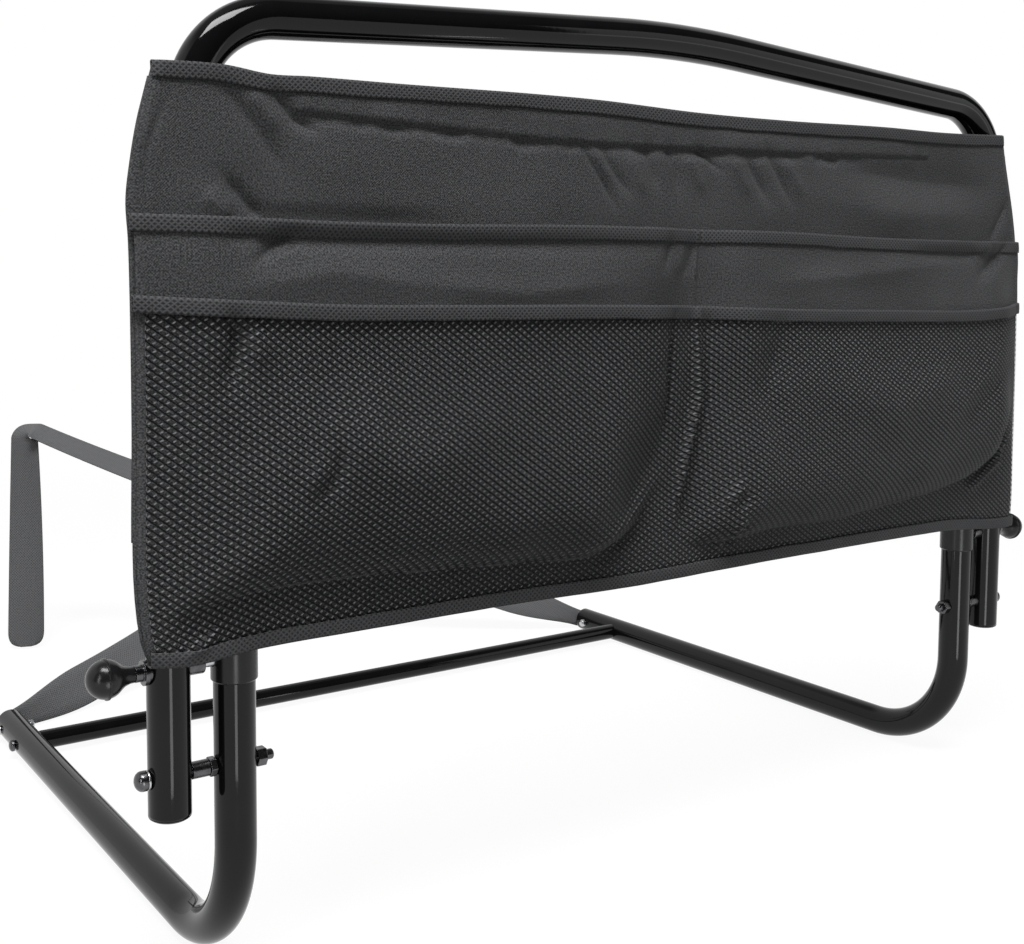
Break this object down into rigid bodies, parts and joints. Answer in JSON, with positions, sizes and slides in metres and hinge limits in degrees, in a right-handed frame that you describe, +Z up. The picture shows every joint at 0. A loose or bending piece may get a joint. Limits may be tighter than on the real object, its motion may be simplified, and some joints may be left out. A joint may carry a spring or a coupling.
{
  "type": "folding bed guard rail",
  "caption": "Folding bedside guard rail: black bent-tube handle with a two-tier organiser pouch, hinged with spring locks on two L-shaped base tubes with a crossbar and safety straps.",
  "frame": {"origin": "middle of the part's outline in plan, on the surface that the two legs rest on", "axes": "+X along the rail, +Y from the rail towards the bed, +Z up"},
  "size_m": [0.8294, 0.8324, 0.58],
  "materials": {
    "tube_paint": "gloss black powder coat",
    "plastic": "satin black",
    "steel": "bright zinc plate",
    "black_hardware": "black zinc",
    "cloth": "plain-woven black polyester",
    "netting": "black diamond mesh",
    "binding": "black ribbed tape",
    "webbing": "charcoal webbing"
  },
  "bodies": {
    "base": {"base_tube_left": "tube_paint", "base_tube_right": "tube_paint", "crossbar": "tube_paint", "upright_cap_left": "plastic", "upright_cap_right": "plastic", "sleeve_left": "plastic", "sleeve_right": "plastic", "pivot_washer_left": "steel", "pivot_washer_right": "steel", "strap_screw_left": "steel", "strap_screw_right": "steel", "strap_nut_left": "steel", "strap_nut_right": "steel", "crossbar_bolt_left": "black_hardware", "crossbar_bolt_right": "black_hardware", "pivot_bolt_left": "black_hardware", "pivot_bolt_right": "black_hardware", "pivot_spacer_left": "black_hardware", "pivot_spacer_right": "black_hardware", "pivot_jam_nut_left": "black_hardware", "pivot_jam_nut_right": "black_hardware", "pivot_nut_left": "black_hardware", "pivot_nut_right": "black_hardware", "strap_left": "webbing", "strap_right": "webbing"},
    "handle": {"handle_tube": "tube_paint", "post_cap_left": "plastic", "post_cap_right": "plastic", "plunger_left": "black_hardware", "plunger_right": "black_hardware", "pouch_front": "cloth", "pouch_back": "cloth", "pouch_cloth_pocket": "cloth", "pouch_mesh_pocket": "netting", "binding_top": "binding", "binding_cloth_pocket": "binding", "binding_mesh_pocket": "binding", "binding_hem": "binding"},
    "lock_left": {"knob_left": "plastic", "lock_pin_left": "steel"},
    "lock_right": {"knob_right": "plastic", "lock_pin_right": "steel"}
  },
  "joints": [
    {"name": "handle_fold", "type": "hinge", "parent": "base", "child": "handle", "pos_m": [0, -0.37733, 0.133], "axis": [1, 0, 0], "range_deg": [0, 150]},
    {"name": "lock_left_pull", "type": "slide", "parent": "handle", "child": "lock_left", "axis": [-1, 0, 0], "range_m": [0, 0.008], "stiffness_N_per_m": 400, "springref_m": -0.01},
    {"name": "lock_right_pull", "type": "slide", "parent": "handle", "child": "lock_right", "axis": [1, 0, 0], "range_m": [0, 0.008], "stiffness_N_per_m": 400, "springref_m": -0.01}
  ]
}
